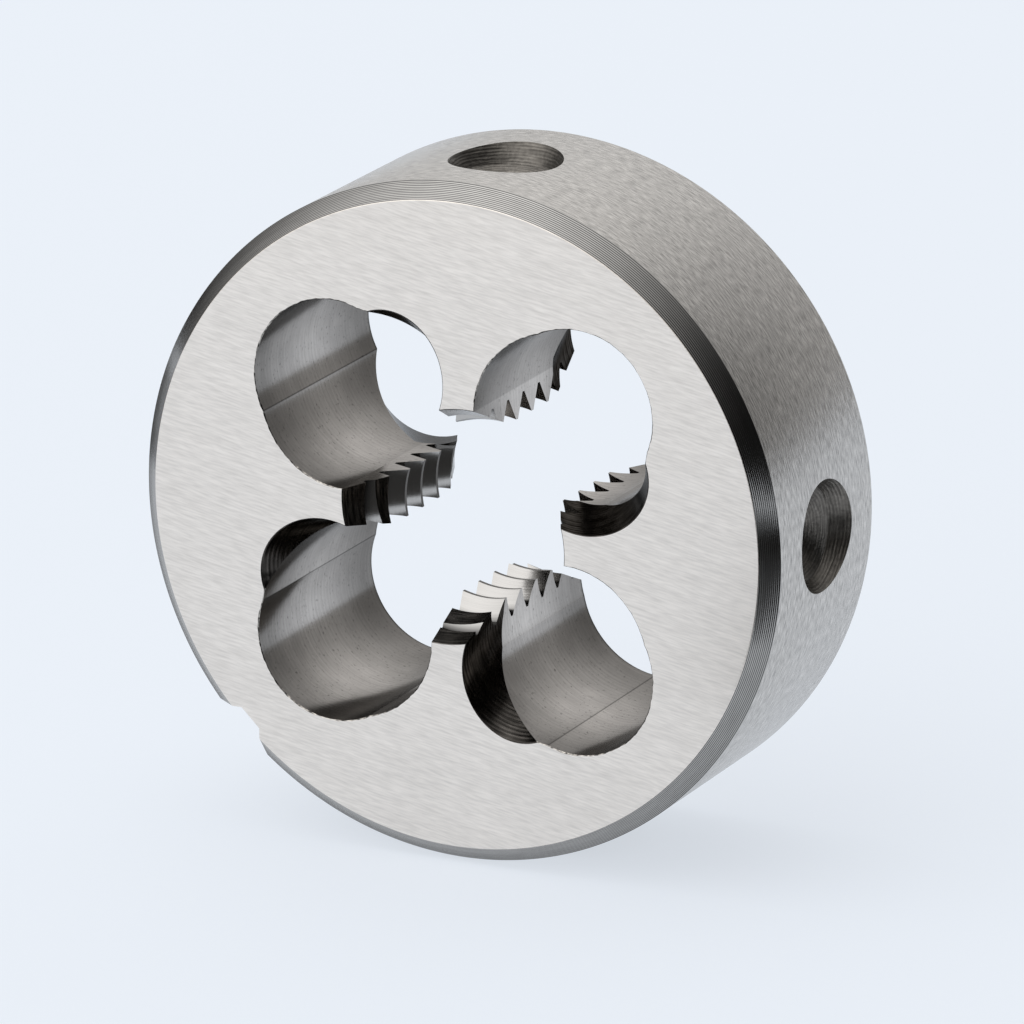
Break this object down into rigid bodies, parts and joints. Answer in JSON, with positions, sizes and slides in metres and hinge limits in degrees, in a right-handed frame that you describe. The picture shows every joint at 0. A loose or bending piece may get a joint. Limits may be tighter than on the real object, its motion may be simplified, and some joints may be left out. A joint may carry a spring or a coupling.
{
  "type": "threading die",
  "caption": "Round unsplit threading die: a short steel disc whose threaded bore is cut into lands by round chip holes, with a notch and screw dimples in its rim.",
  "frame": {"origin": "centre of the back face, which the die lies on", "axes": "+Z is the thread's axis, towards the start face; +X points at one holding dimple, +Y at the other, and the notch lies at 225 degrees about +Z from +X"},
  "size_m": [0.025, 0.025, 0.009],
  "materials": {
    "tool_steel": "ground faces and rim, turned chamfers, drilled holes"
  },
  "bodies": {
    "root": {"threading_die": "tool_steel"}
  },
  "joints": []
}
